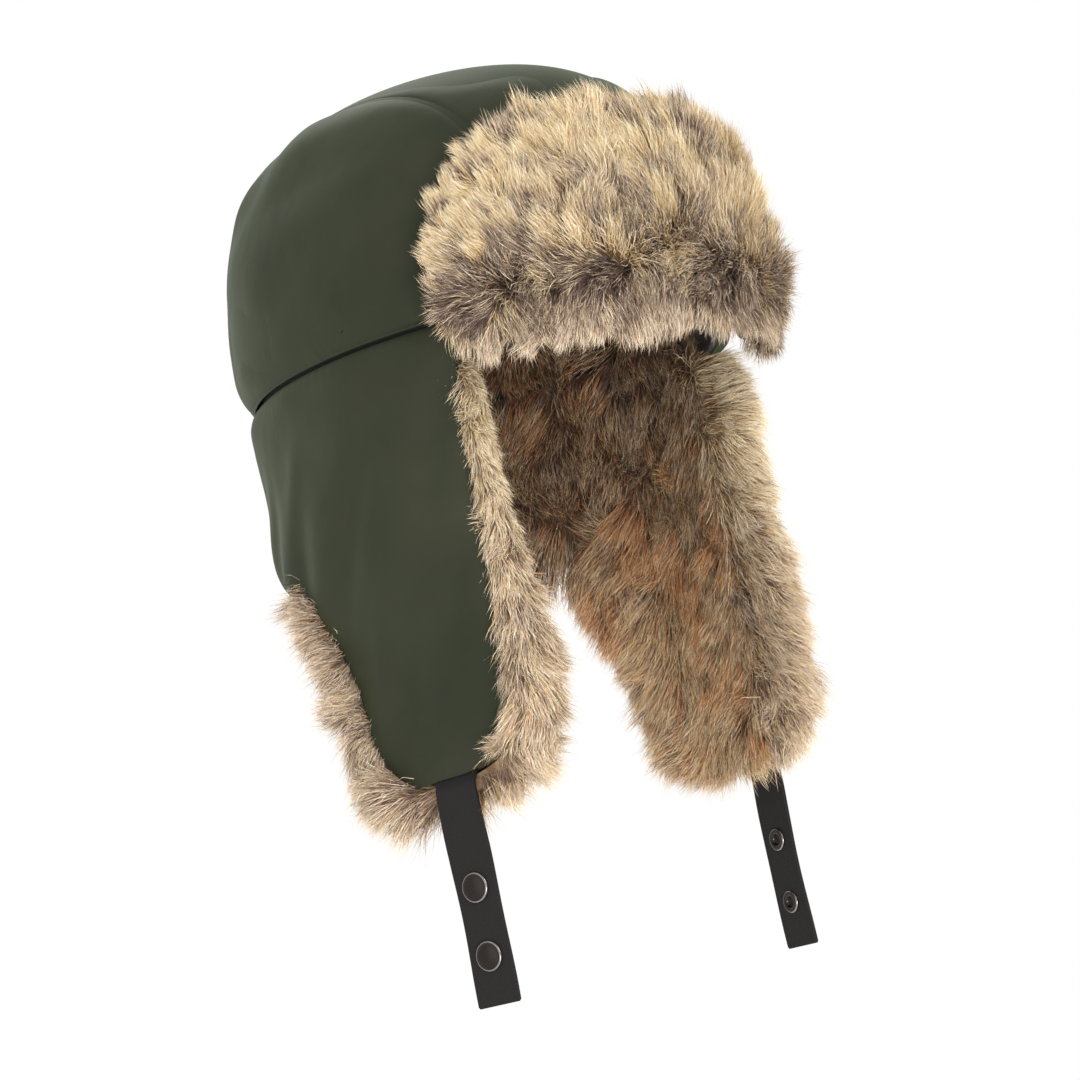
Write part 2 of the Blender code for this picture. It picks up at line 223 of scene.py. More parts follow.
def visor_surface(angle, height, depth):
    """The upright visor's surface, depth outwards of its back face, leaning in towards its top."""
    lean = VISOR_LEAN * (np.maximum(height, 0.0) / VISOR_TOP) ** 2
    reach = 3.0 + depth - lean
    turn = np.radians(angle)
    x = (CROWN[0] + reach) * np.sin(turn)
    y = -(CROWN[1] + reach) * np.cos(turn)
    return np.stack(np.broadcast_arrays(x, y, height + 0.0 * x), -1)


# ---------------------------------------------------------------- meshes


def mesh_object(name, points, faces, slots=None, materials=()):
    """A mesh from points in millimetres and equal-sided faces, with a material slot for each face."""
    data = bpy.data.meshes.new(name)
    sides = faces.shape[1]
    data.vertices.add(len(points))
    data.vertices.foreach_set("co", (points * MM).astype(np.float32).ravel())
    data.loops.add(faces.size)
    data.loops.foreach_set("vertex_index", faces.astype(np.int32).ravel())
    data.polygons.add(len(faces))
    data.polygons.foreach_set("loop_start", np.arange(0, faces.size, sides, dtype=np.int32))
    if slots is not None:
        data.polygons.foreach_set("material_index", slots.astype(np.int32))
    data.polygons.foreach_set("use_smooth", np.ones(len(faces), bool))
    data.update(calc_edges=True)
    for item in materials:
        data.materials.append(item)
    made = bpy.data.objects.new(name, data)
    bpy.context.scene.collection.objects.link(made)
    return made


def layered(name, outer, inner, closed, pole, material):
    """A closed body between two grids of points. Its rims are sharp, so that its faces shade as one."""
    rows, cols = outer.shape[:2]
    grids = np.concatenate([outer.reshape(-1, 3), inner.reshape(-1, 3)])
    spans = rows if closed else rows - 1
    i, j = np.meshgrid(np.arange(spans), np.arange(cols - 1), indexing="ij")
    a, b = (i * cols + j).ravel(), (((i + 1) % rows) * cols + j).ravel()
    top = np.stack([a, b, b + 1, a + 1], 1)
    shift = rows * cols
    faces = [top, top[:, ::-1] + shift]
    i = np.arange(spans)
    k = (i + 1) % rows
    for col in (cols - 1,) if pole else (0, cols - 1):
        here, there = i * cols + col, k * cols + col
        wall = np.stack([here, there, there + shift, here + shift], 1)
        faces.append(wall if col == 0 else wall[:, ::-1])
    if not closed:
        j = np.arange(cols - 1)
        for row in (0, rows - 1):
            wall = np.stack([row * cols + j, row * cols + j + 1], 1)
            wall = np.concatenate([wall, wall[:, ::-1] + shift], 1)
            faces.append(wall[:, ::-1] if row == 0 else wall)
    made = mesh_object(name, grids, np.concatenate(faces), materials=[material])
    tidy_body(made)
    return made


def tidy_body(item):
    """Joins the points of a pole, turns the faces outwards and marks the rims sharp."""
    mesh = bmesh.new()
    mesh.from_mesh(item.data)
    bmesh.ops.remove_doubles(mesh, verts=mesh.verts, dist=1e-7)
    bmesh.ops.dissolve_degenerate(mesh, edges=mesh.edges, dist=1e-8)
    bmesh.ops.recalc_face_normals(mesh, faces=mesh.faces)
    for edge in mesh.edges:
        if len(edge.link_faces) == 2 and edge.calc_face_angle(0.0) > math.radians(55):
            edge.smooth = False
    mesh.to_mesh(item.data)
    mesh.free()


# ---------------------------------------------------------------- materials


def linear(color):
    """A 0-255 sRGB colour as linear values."""
    c = np.array(color) / 255.0
    return tuple(float(v) for v in np.where(c <= 0.04045, c / 12.92, ((c + 0.055) / 1.055) ** 2.4))


def new_material(name, color, roughness, metallic=0.0):
    made = bpy.data.materials.new(name)
    made.use_nodes = True
    shader = made.node_tree.nodes["Principled BSDF"]
    shader.inputs["Base Color"].default_value = (*linear(color), 1.0)
    shader.inputs["Roughness"].default_value = roughness
    shader.inputs["Metallic"].default_value = metallic
    return made, made.node_tree, shader


def object_place(tree):
    return tree.nodes.new("ShaderNodeTexCoord").outputs["Object"]


def noise(tree, place, scale, detail=3.0, roughness=0.5):
    node = tree.nodes.new("ShaderNodeTexNoise")
    node.inputs["Scale"].default_value = scale
    node.inputs["Detail"].default_value = detail
    node.inputs["Roughness"].default_value = roughness
    tree.links.new(place, node.inputs["Vector"])
    return node.outputs["Fac"]


def color_ramp(tree, factor, stops):
    node = tree.nodes.new("ShaderNodeValToRGB")
    ramp = node.color_ramp
    while len(ramp.elements) < len(stops):
        ramp.elements.new(0.5)
    for element, (place, color) in zip(ramp.elements, stops):
        element.position = place
        element.color = (*linear(color), 1.0)
    tree.links.new(factor, node.inputs["Fac"])
    return node.outputs["Color"]


def bump(tree, shader, height, strength, distance):
    node = tree.nodes.new("ShaderNodeBump")
    node.inputs["Strength"].default_value = strength
    node.inputs["Distance"].default_value = distance
    tree.links.new(height, node.inputs["Height"])
    tree.links.new(node.outputs["Normal"], shader.inputs["Normal"])


def nylon_material():
    made, tree, shader = new_material("olive_nylon", (41, 43, 31), 0.58)
    place = object_place(tree)
    cloudy = noise(tree, place, 14.0, 4.0)
    stops = ((0.28, (34, 36, 27)), (0.52, (41, 43, 32)), (0.78, (51, 53, 40)))
    tree.links.new(color_ramp(tree, cloudy, stops), shader.inputs["Base Color"])
    shader.inputs["Specular IOR Level"].default_value = 0.15
    shader.inputs["Specular Tint"].default_value = (0.92, 1.0, 0.74, 1.0)
    shader.inputs["Sheen Weight"].default_value = 0.09
    shader.inputs["Sheen Roughness"].default_value = 0.45
    shader.inputs["Sheen Tint"].default_value = (0.52, 0.74, 0.36, 1.0)
    bump(tree, shader, noise(tree, place, 420.0, 5.0, 0.65), 0.16, 0.0006)
    return made


def dark_cloth_material(name, color):
    made, tree, shader = new_material(name, color, 0.7)
    bump(tree, shader, noise(tree, object_place(tree), 900.0, 2.0), 0.3, 0.0004)
    return made


def webbing_material():
    made, tree, shader = new_material("black_webbing", (30, 28, 28), 0.8)
    place = object_place(tree)
    twill = tree.nodes.new("ShaderNodeTexWave")
    twill.bands_direction = "DIAGONAL"
    twill.inputs["Scale"].default_value = 420.0
    twill.inputs["Distortion"].default_value = 0.6
    tree.links.new(place, twill.inputs["Vector"])
    stops = ((0.2, (24, 22, 22)), (0.8, (31, 29, 28)))
    tree.links.new(color_ramp(tree, twill.outputs["Fac"], stops), shader.inputs["Base Color"])
    shader.inputs["Specular IOR Level"].default_value = 0.18
    bump(tree, shader, twill.outputs["Fac"], 0.25, 0.0002)
    return made


def gunmetal_material(name, color):
    made, tree, shader = new_material(name, color, 0.24, 0.95)
    bump(tree, shader, noise(tree, object_place(tree), 700.0, 3.0), 0.08, 0.0003)
    return made


def undercoat_material(name, dark, light):
    made, tree, shader = new_material(name, dark, 0.95)
    mottled = noise(tree, object_place(tree), 160.0, 5.0, 0.7)
    stops = ((0.35, dark), (0.65, light))
    tree.links.new(color_ramp(tree, mottled, stops), shader.inputs["Base Color"])
    bump(tree, shader, noise(tree, object_place(tree), 500.0, 4.0), 0.9, 0.002)
    return made


# Fur colours from root to tip.
COATS = {
    "cream": ((168, 144, 110), (212, 194, 158), (230, 218, 190)),
    "gold": ((142, 112, 76), (198, 168, 120), (224, 202, 160)),
    "tan": ((124, 96, 68), (184, 150, 110), (214, 186, 146)),
    "agouti": ((78, 62, 54), (100, 82, 70), (186, 164, 136)),
    "grey": ((98, 80, 70), (144, 126, 110), (204, 186, 162)),
    "rose": ((146, 122, 106), (200, 176, 154), (224, 206, 184)),
    "rust": ((104, 66, 42), (178, 116, 70), (210, 158, 108)),
    "umber": ((66, 52, 46), (90, 74, 66), (134, 114, 100)),
    "brown": ((76, 54, 42), (112, 84, 64), (152, 122, 94)),
}
COAT_NAMES = list(COATS)


def coat_materials():
    made = []
    for name, colors in COATS.items():
        for zone, color in zip(("root", "mid", "tip"), colors):
            item, _, shader = new_material("fur_" + name + "_" + zone, color, 0.6)
            shader.inputs["Specular IOR Level"].default_value = 0.25
            made.append(item)
    return made


FUR_MATERIALS = coat_materials()
NYLON = nylon_material()
LINING_CLOTH = dark_cloth_material("lining_cloth", (46, 43, 41))
FACING_CLOTH = dark_cloth_material("facing_cloth", (36, 33, 32))
WEBBING = webbing_material()
GUNMETAL = gunmetal_material("gunmetal", (50, 45, 43))
# A lighter copy of the gunmetal that paints a highlight round the snaps' rims.
RIM_HIGHLIGHT_METAL = gunmetal_material("painted_rim_highlight_metal", (128, 122, 118))
UNDERCOAT_LIGHT = undercoat_material("undercoat_light", (96, 74, 54), (146, 120, 88))
UNDERCOAT_DARK = undercoat_material("undercoat_dark", (58, 42, 32), (94, 70, 50))


# ---------------------------------------------------------------- fur


def sample_surface(item, count, weight, rng):
    """Points and normals spread over a mesh by area times weight(points, normals), in millimetres."""
    data = item.data
    data.calc_loop_triangles()
    corners = np.empty(len(data.loop_triangles) * 3, np.int32)
    data.loop_triangles.foreach_get("vertices", corners)
    corners = corners.reshape(-1, 3)
    places = np.empty(len(data.vertices) * 3)
    data.vertices.foreach_get("co", places)
    places = places.reshape(-1, 3) / MM
    normals = np.empty(len(data.vertices) * 3)
    data.vertices.foreach_get("normal", normals)
    normals = normals.reshape(-1, 3)
    tri = places[corners]
    face = np.cross(tri[:, 1] - tri[:, 0], tri[:, 2] - tri[:, 0])
    area = np.linalg.norm(face, axis=1)
    share = area * weight(tri.mean(1), unit(face))
    pick = rng.choice(len(tri), count, p=share / share.sum())
    uv = rng.random((count, 2))
    uv = np.where(uv.sum(1, keepdims=True) > 1, 1 - uv, uv)
    mix = np.stack([1 - uv.sum(1), uv[:, 0], uv[:, 1]], 1)[..., None]
    shaded = unit((normals[corners[pick]] * mix).sum(1))
    return (tri[pick] * mix).sum(1), unit(shaded + unit(face[pick]))


def nearest(points, centers):
    """The number of the nearest centre to each point."""
    tree = kdtree.KDTree(len(centers))
    for i, c in enumerate(centers):
        tree.insert(c, i)
    tree.balance()
    return np.array([tree.find(p)[1] for p in points])


# Strands, in millimetres: where along a strand its corners are, and how wide it is there.
STATIONS = np.array([0.0, 0.36, 0.72, 1.0])
WIDTHS = np.array([1.0, 0.9, 0.6, 0.0])
STRAND_WIDTH = 0.30
STRANDS = {"visor": 93000, "ear": 62000, "neck": 36000, "crown": 24000}
SPREAD = 0.2
TUFT = 0.3
LOCK_SIZE = 210
CLUMP_SIZE = 26
PIECE_STRANDS = 38000

# A strand has 7 corners and 5 faces, in 3 zones of colour from root to tip.
STRAND_FACES = np.array([[0, 1, 3], [0, 3, 2], [2, 3, 5], [2, 5, 4], [4, 5, 6]])
STRAND_ZONES = np.array([0, 0, 1, 1, 2])

# Strands that would stand out past this half width are drawn back, to keep near the frame's box.
FUR_HALF_WIDTH = 110.0
FUR_PRESS = 0.65


def strand_paths(p, n, lie, long, lock_heads, lift, clump, rng):
    """The corners' places along each strand, gathered into clumps inside larger locks."""
    count = len(p)
    start = unit(n * lift + lie + rng.normal(size=(count, 3)) * SPREAD)
    end = unit(lie + n * (lift * 0.35) + rng.normal(size=(count, 3)) * SPREAD * 1.7)
    t = STATIONS[None, :, None]
    path = p[:, None] + long[:, None] * (start[:, None] * (t - t * t / 2) + end[:, None] * (t * t / 2))
    leaders = rng.choice(count, max(count // CLUMP_SIZE, 1), replace=False)
    follow = leaders[nearest(p, p[leaders])]
    pull = clump * rng.uniform(0.4, 1.0, (count, 1, 1)) * t ** 1.5
    path = path + (path[follow] - path) * pull
    path = path + (path[lock_heads] - path) * (TUFT * rng.uniform(0.2, 1.0, (count, 1, 1)) * t ** 2)
    wide = np.maximum(np.abs(path[..., 0]) - FUR_HALF_WIDTH, 0.0)
    path[..., 0] -= np.sign(path[..., 0]) * wide * FUR_PRESS
    return path


def ribbons(path, n, width, rng):
    """The seven corners of each strand: a flat ribbon along its path, tapering to a point."""
    count = len(path)
    tangent = unit(np.gradient(path, axis=1))
    side = unit(np.cross(tangent, n[:, None]))
    twist = rng.normal(0.0, 0.7, (count, 1, 1))
    side = side * np.cos(twist) + np.cross(tangent, side) * np.sin(twist)
    half = WIDTHS[None, :, None] * (width * rng.uniform(0.7, 1.25, (count, 1, 1)) / 2)
    pairs = np.stack([path - side * half, path + side * half], 2)[:, :3]
    return np.concatenate([pairs.reshape(count, 6, 3), path[:, 3:]], 1)


def grow(name, base, count, weight, comb, length, coat, lift, clump=0.32):
    """Fur strands on a base mesh, in pieces small enough to keep whole.

    weight(points, normals) says how thickly the base is covered, comb(points, normals) gives each
    strand's lie, length(points) its length in millimetres, and coat(points, rng) its colour. lift is
    how steeply a strand leaves the base, and clump how far it leans to its neighbours.
    """
    rng = np.random.default_rng(RNG_SEED + len(name) + count)
    width = STRAND_WIDTH
    p, n = sample_surface(base, count, weight, rng)
    locks = rng.choice(count, max(count // LOCK_SIZE, 1), replace=False)
    lock = nearest(p, p[locks])
    lean = rng.normal(size=(len(locks), 3)) * TUFT
    lie = comb(p, n) + lean[lock]
    lie = lie - (lie * n).sum(1, keepdims=True) * n
    lie = lie / np.maximum(np.linalg.norm(lie, axis=1, keepdims=True), 1.0)
    uneven = rng.uniform(0.55, 1.12, count) * rng.uniform(0.82, 1.18, len(locks))[lock]
    long = (length(p) * uneven)[:, None]
    path = strand_paths(p, n, lie, long, locks[lock], lift, clump, rng)
    corners = ribbons(path, n, width, rng)
    picked = coat(p + (p[locks[lock]] - p) * 0.5, rng)
    made = []
    for part, begin in enumerate(range(0, count, PIECE_STRANDS)):
        chosen = slice(begin, min(begin + PIECE_STRANDS, count))
        size = chosen.stop - chosen.start
        faces = (STRAND_FACES[None] + 7 * np.arange(size)[:, None, None]).reshape(-1, 3)
        slots = (picked[chosen, None] * 3 + STRAND_ZONES[None]).ravel()
        points = corners[chosen].reshape(-1, 3)
        made.append(mesh_object(f"{name}_{part + 1}", points, faces, slots, FUR_MATERIALS))
    return made


def choose(rng, weights):
    """A coat number for each row of weights, given as {coat name: weight array}."""
    names = list(weights)
    table = np.stack(np.broadcast_arrays(*[np.maximum(weights[n], 0.0) for n in names]), 1)
    table = np.cumsum(table / table.sum(1, keepdims=True), 1)
    pick = (rng.random((len(table), 1)) > table[:, :-1]).sum(1)
    return np.array([COAT_NAMES.index(n) for n in names])[pick]


# ---------------------------------------------------------------- nylon shells


def puckers(along, away, pitch=6.5, depth=0.7, reach=7.0):
    """The gathers beside a seam: along and away are distances in millimetres."""
    wobble = np.sin(along / pitch * 2 * math.pi + 1.7 * np.sin(along / 19.0) + 0.8 * np.sin(along / 7.7))
    stitched = -0.9 * np.exp(-away / 0.8)
    strength = 0.65 + 0.35 * np.sin(along / 31.0 + 2.0 * np.sin(along / 53.0))
    return depth * strength * wobble * np.exp(-away / reach) + stitched


def padding(away, swell=3.0, reach=9.0):
    """How far a padded panel swells at a distance from its seam."""
    return swell * (1.0 - np.exp(-away / reach)) - 1.6


def creases(points, seed, way, length=26.0):
    """Long soft folds that run along way, in millimetres."""
    across = points - (points @ way)[..., None] * way * 0.82
    return waves(across, length, seed, 5)


def sewn_panel(name, grid, outward, rise, thickness, closed, pole, material):
    """A padded panel: the grid raised along its normals by rise, and its back at thickness below."""
    n = grid_normals(grid, outward)
    if pole:
        n[:, 0] = unit(n[:, 1].mean(0))
        rise[:, 0] = rise[:, 1].mean()
    elif not closed and np.ptp(grid[-1], axis=0).max() < 1.0:
        n[-1] = unit(n[-2].mean(0))
        rise[-1] = rise[-2].mean()
    back = grid - n * np.broadcast_to(thickness, rise.shape)[..., None]
    return layered(name, grid + n * rise[..., None], back, closed, pole, material)


def crown_relief(p):
    """The soft lumps, folds and slumped top of the worn crown."""
    fold = creases(p, 31, unit(np.array([0.1, 0.55, 0.83])), 34.0)
    plan = np.hypot(p[..., 0] / CROWN[0], p[..., 1] / CROWN[1])
    climb = p[..., 2] / CROWN[2]
    shoulder = 2.6 * smooth(0.5, 0.8, plan) * smooth(0.6, 0.8, climb)
    flat_top = 2.6 * smooth(0.86, 0.99, climb)
    sunk_front = 3.0 * smooth(0.55, 0.85, climb) * smooth(10, -60, p[..., 1])
    return waves(p, 55.0, 11) + 0.95 * fold + 0.04 * waves(p, 14.0, 12) + shoulder - flat_top - sunk_front


def center_panel():
    """The wide panel over the crown from brow to nape."""
    seam = CENTER_PANEL_HALF_WIDTH
    x = np.linspace(-seam, seam, 84)[:, None]
    turn = np.linspace(0, 180, 190)[None]
    grid = dome_slice(x, turn)
    side_away = seam - np.abs(x) + 0.0 * turn
    foot_away = np.minimum(turn, 180 - turn) * 2.0 + 0.0 * x
    rise = padding(np.minimum(side_away, foot_away), 1.1, 3.2)
    rise += puckers(turn * CROWN_MM_PER_DEGREE + 0 * x, side_away, 5.0, 0.13, 4.0)
    rise += puckers(x + 0 * turn, foot_away)
    rise += crown_relief(grid) * np.minimum(side_away, foot_away).clip(0, 8) / 8
    made = sewn_panel("crown_center_cover", grid, grid, rise, 1.6, False, False, NYLON)
    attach(made, "crown")
    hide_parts("crown_center_panel", "crown_wadding")


def side_panel(side, sign):
    """One of the two panels on either side of the crown's centre panel."""
    start = math.asin(CENTER_PANEL_HALF_WIDTH / CROWN[0])
    slices = CROWN[0] * np.sin(np.linspace(start, math.pi / 2, 56))[:, None]
    turn = np.linspace(0, 180, 190)[None]
    grid = dome_slice(sign * slices, turn)
    seam_away = (np.linspace(0, 1, 56)[:, None] * SIDE_PANEL_HEIGHT) + 0 * turn
    foot_away = grid[..., 2]
    rise = padding(np.minimum(seam_away, foot_away), 1.1, 3.2)
    around = np.degrees(np.arctan2(grid[..., 0], -grid[..., 1])) * CROWN_MM_PER_DEGREE
    rise += puckers(turn * CROWN_MM_PER_DEGREE + 0 * slices, seam_away, 5.0, 0.13, 4.0)
    rise += puckers(around, foot_away, 4.6, 0.34, 4.0)
    rise += crown_relief(grid) * np.minimum(seam_away, foot_away).clip(0, 8) / 8
    made = sewn_panel("crown_side_cover_" + side, grid, grid, rise, 1.6, False, False, NYLON)
    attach(made, "crown")
    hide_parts("crown_side_panel_" + side)


def around_mm(angle):
    return (angle % 360.0) * BAND_MM_PER_DEGREE


def band_rise(p, angle, height, free_away):
    """The relief of the band and the ear flaps, one field so that they meet without a step."""
    seam_away = np.maximum(-height, 0.0)
    down = unit(np.array([0.0, 0.42, -0.9]))
    folds = creases(p, 41, down, 30.0)
    lower = smooth(10.0, 45.0, seam_away)
    rise = padding(seam_away, 1.4, 4.0) * np.ones_like(height)
    rise += puckers(around_mm(angle), seam_away, 5.2, 0.34, 4.5)
    relief = 0.8 * waves(p, 52.0, 21) + 1.2 * folds * lower + 0.04 * waves(p, 12.0, 22)
    rise += relief * np.clip(seam_away / 8, 0, 1)
    edge = np.exp(-np.maximum(free_away, 0.0) / 4.5)
    return rise * (1 - 0.75 * edge) - 2.2 * edge


def band_cover():
    """The padded band below the crown's seam, closed all round."""
    angle = np.linspace(0, 360, 420, endpoint=False)[:, None]
    share = np.linspace(0, 1, 52)[None]
    height = -0.15 + (band_hem(angle) + 0.15) * share
    grid = band_surface(angle, height)
    from_front = np.abs((angle + 180) % 360 - 180)
    is_free = np.maximum(1 - smooth(53, 58, from_front), smooth(119, 128, from_front))
    free_away = (height - band_hem(angle)) + 60.0 * (1 - is_free)
    rise = band_rise(grid, angle + 0 * height, height, free_away)
    outward = grid * np.array([1.0, 1.0, 0.0])
    thickness = 3.0 + 3.8 * smooth(60, 55, from_front) + 0.0 * share
    made = sewn_panel("band_cover", grid, outward, rise, thickness, True, False, NYLON)
    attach(made, "crown")
    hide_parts("band_shell", "band_wadding")


def flap_edge():
    """The ear flap's outline: its free edge, and the line along the band that it folds on."""
    free = smooth_curve(FLAP_OUTLINE, 190)
    fold = np.linspace(FLAP_OUTLINE[-1], FLAP_OUTLINE[0], 92)[1:-1]
    return free, fold


def fold_blend(item):
    """Bakes a piece's placement into its points; the piece is not bent towards its ear flap."""
    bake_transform(item)


def ear_cover(side, sign):
    """The padded outer shell of an ear flap."""
    free, fold = flap_edge()
    edge = np.concatenate([free, fold])[:, None]
    share = np.linspace(0, 1, 58)[None, :, None]
    center = np.array(FLAP_CENTER)
    place = center + (edge - center) * share
    angle, height = place[..., 0], place[..., 1]
    grid = band_surface(sign * angle, height)
    count = len(free)
    is_free = np.concatenate([np.ones(count), np.zeros(len(fold))])
    ends = np.minimum(np.arange(len(is_free)), np.abs(count - 1 - np.arange(len(is_free))))
    is_free *= smooth(0, 12, ends)
    reach = np.linalg.norm((edge - center)[:, 0] * np.array([BAND_MM_PER_DEGREE, 1.0]), axis=1)
    free_away = (1 - share[..., 0]) * reach[:, None] + 60.0 * (1 - is_free)[:, None]
    rise = band_rise(grid, sign * angle, height, free_away)
    outward = grid * np.array([1.0, 1.0, 0.0])
    made = sewn_panel("ear_cover_" + side, grid, outward, rise, 3.0, True, True, NYLON)
    fold_blend(made)
    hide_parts("ear_shell_" + side, "ear_wadding_" + side)


# ---------------------------------------------------------------- fur pieces

DOWN = np.array([0.0, 0.0, -1.0])


def round_about(p):
    """The direction round the hat at each point, towards increasing angle."""
    turn = np.arctan2(p[:, 0] / BAND[0], -p[:, 1] / BAND[1])
    return unit(np.stack([BAND[0] * np.cos(turn), BAND[1] * np.sin(turn), 0 * turn], 1))


def angle_of(p):
    return np.degrees(np.arctan2(p[:, 0] / BAND[0], -p[:, 1] / BAND[1]))


def outward_of(p):
    return unit(p * np.array([1 / BAND[0] ** 2, 1 / BAND[1] ** 2, 0.0]))


def facing_out(p, n):
    """How far each normal points away from the hat's axis: 1 is straight out, and -1 straight in."""
    return (n * outward_of(p)).sum(1)


def inset_of(p):
    """How far inside the band's outer surface each point is, in millimetres."""
    return (1.0 - np.hypot(p[:, 0] / BAND[0], p[:, 1] / BAND[1])) * MEAN_RADIUS


def ear_pad(side, sign):
    """The fur's cloth: a pad behind the shell, rolled out round the free edge."""
    free, fold = flap_edge()
    free, fold = free[::2], fold[::2]
    edge = np.concatenate([free, fold])
    is_free = np.concatenate([np.ones(len(free)), np.zeros(len(fold))])
    is_free *= smooth(0, 10, len(free) - 1 - np.arange(len(edge))) * smooth(-1, 3, np.arange(len(edge)))
    ahead = smooth(74, 60, edge[:, 0])
    behind = smooth(88, 97, edge[:, 0])
    below = smooth(-150, -178, edge[:, 1])
    trim = edge.copy()
    trim_front = TRIM_FRONT_TOP + (TRIM_FRONT - TRIM_FRONT_TOP) * smooth(-50, -150, edge[:, 1])
    trim[:, 0] += is_free * (TRIM_REAR * behind - trim_front * ahead) * 0.62
    trim[:, 1] -= is_free * TRIM_BELOW * below * 0.62
    notch = smooth(13, 9, np.abs(edge[:, 0] - STRAP_ANGLE)) * (edge[:, 1] < -150)
    center = np.array(FLAP_CENTER)
    over, under = [], []
    for s in np.linspace(0, 1, 22):
        place = center + (edge - center) * s
        over.append(band_surface(sign * place[:, 0], place[:, 1], PAD_OUTER))
        under.append(band_surface(sign * place[:, 0], place[:, 1], PAD_INNER))
    for s in np.linspace(0.04, 1, 10):
        place = edge + (trim - edge) * s
        plump = 7.0 - 2.5 * ahead * smooth(-150, -60, edge[:, 1]) * (1 - FRONT_FLARE[side])
        half = plump * math.sqrt(max(1 - s ** 2.5, 0.0))
        middle = 6.0 - 3.0 * ahead * smooth(0, 0.4, s)
        top = middle - half * smooth(0, 0.25, s) + 2.2 * (1 - smooth(0, 0.25, s))
        top = top + notch * 5.0 * (half / plump)
        top = PAD_OUTER + (top - PAD_OUTER) * is_free
        top = np.minimum(top, middle + half * 0.9 + 1.5)
        low = middle + half * 0.93
        low = PAD_INNER + (low - PAD_INNER) * is_free
        over.append(band_surface(sign * place[:, 0], place[:, 1], top))
        under.append(band_surface(sign * place[:, 0], place[:, 1], low))
    return layered("ear_pad_" + side, np.stack(over, 1), np.stack(under, 1), True, True, UNDERCOAT_LIGHT)


def ear_fur(side, sign):
    """The fur of an ear flap: its inner face, and the trim that rolls out past the shell."""
    base = ear_pad(side, sign)
    flare = FRONT_FLARE[side]

    def weight(p, n):
        facing = facing_out(p, n)
        outer = facing > -0.35
        height = p[:, 2]
        from_strap = np.abs(np.abs(angle_of(p)) - STRAP_ANGLE)
        under_shell = (facing > 0.3) & (inset_of(p) > 6.5)
        under_strap = (from_strap < 6.5) & (height < FLAP_TIP + 12) & outer
        at_strap_root = (from_strap < 13) & (height > FLAP_TIP - 2) & (height < FLAP_TIP + 14) & outer
        in_fold = (height > band_hem(angle_of(p)) - 4.0) & (np.abs(angle_of(p)) > FACE_ANGLE + 5)
        hidden = under_shell | under_strap | at_strap_root | in_fold
        return np.where(hidden, 0.0, np.where(facing > -0.3, 1.5, 1.0))

    def edges(p):
        a = np.abs(angle_of(p))
        front = smooth(66, 54, a)
        rear = smooth(88, 100, a + np.clip((-110 - p[:, 2]) * 0.12, 0, 12))
        return front, rear

    def comb(p, n):
        front, rear = edges(p)
        outer = smooth(-0.2, 0.5, facing_out(p, n))
        drift = (rear * 0.8 - front * 0.8 * (1 - outer) + front * 0.12 * outer) * sign
        wave = 0.35 * waves(p, 40.0, 61)
        aside = (np.abs(angle_of(p)) - STRAP_ANGLE) / 6.0
        near_strap = np.exp(-(aside ** 2) / 2)
        drift = drift + sign * aside * near_strap * smooth(-170, -180, p[:, 2]) * outer * 1.6
        behind_strap = near_strap * smooth(-165, -180, p[:, 2]) * (1 - outer)
        corner = front * smooth(-52, -28, p[:, 2]) * flare
        drift = drift - sign * 0.5 * corner
        out = flare * front + 0.5 * rear - 0.7 * behind_strap
        around = round_about(p) * (drift + wave)[:, None]
        return DOWN * (1 - 0.85 * corner)[:, None] + around + outward_of(p) * out[:, None]

    def length(p):
        front, rear = edges(p)
        low = smooth(-165, -190, p[:, 2])
        short = front * smooth(-150, -70, p[:, 2]) * (1 - flare)
        return 17.0 - 8.0 * short + 3.0 * rear + 3.0 * front * smooth(-60, -110, p[:, 2]) + 4.0 * low

    def coat(p, rng):
        front, rear = edges(p)
        inside = smooth(8.5, 12.0, inset_of(p)) * (1 - 0.85 * front)
        rim = 1 - inside
        streaks = smooth(0.1, 0.7, waves(p * np.array([1.6, 1.6, 0.4]), 24.0, 71))
        patches = smooth(0.2, 0.8, waves(p * np.array([1.3, 1.3, 0.6]), 20.0, 72))
        deep = smooth(-110, -30, p[:, 2]) * inside
        high = smooth(-120, -40, p[:, 2])
        return choose(rng, {
            "cream": rim * (0.3 + 1.7 * high * front - 0.1 * rear),
            "gold": 0.25 * rim * (1 - rear) + 0.3 * inside * (1 - deep),
            "tan": 0.25 * rim + inside * (1.0 - 0.5 * deep),
            "rose": rim * (0.75 - 0.5 * high * front),
            "rust": inside * (1.8 * streaks + 0.15),
            "agouti": (0.12 * rim + 0.5 * inside) * (0.2 + 1.6 * patches),
            "grey": (0.35 + 0.4 * rear - 0.25 * high * front) * rim + 0.25 * inside + 0.4 * patches * rim,
            "brown": 0.7 * deep + 0.12 * inside,
        })

    strands = grow("ear_fur_" + side, base, STRANDS["ear"], weight, comb, length, coat, lift=0.62)
    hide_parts("ear_fur_" + side)
    for item in [base] + strands:
        fold_blend(item)


def lining_coat(p, rng, low):
    """The darker, redder colours inside the hat. low is how near the strands are to the neck hem."""
    streaks = smooth(0.0, 0.7, waves(p * np.array([1.5, 1.5, 0.5]), 26.0, 73))
    clouds = smooth(0.0, 0.7, waves(p, 34.0, 77))
    return choose(rng, {
        "brown": 0.7 * (1 - clouds) * (1 - 0.6 * low) + 0.1,
        "agouti": 0.35 + 0.2 * clouds,
        "rust": 0.7 * streaks + 0.15 * (1 - low),
        "tan": 0.35 + 0.5 * clouds + 0.4 * low,
        "grey": 0.10 + 0.6 * clouds + 0.3 * low,
        "rose": 0.5 * low + 0.1 * clouds,
        "cream": 0.3 * low,
    })


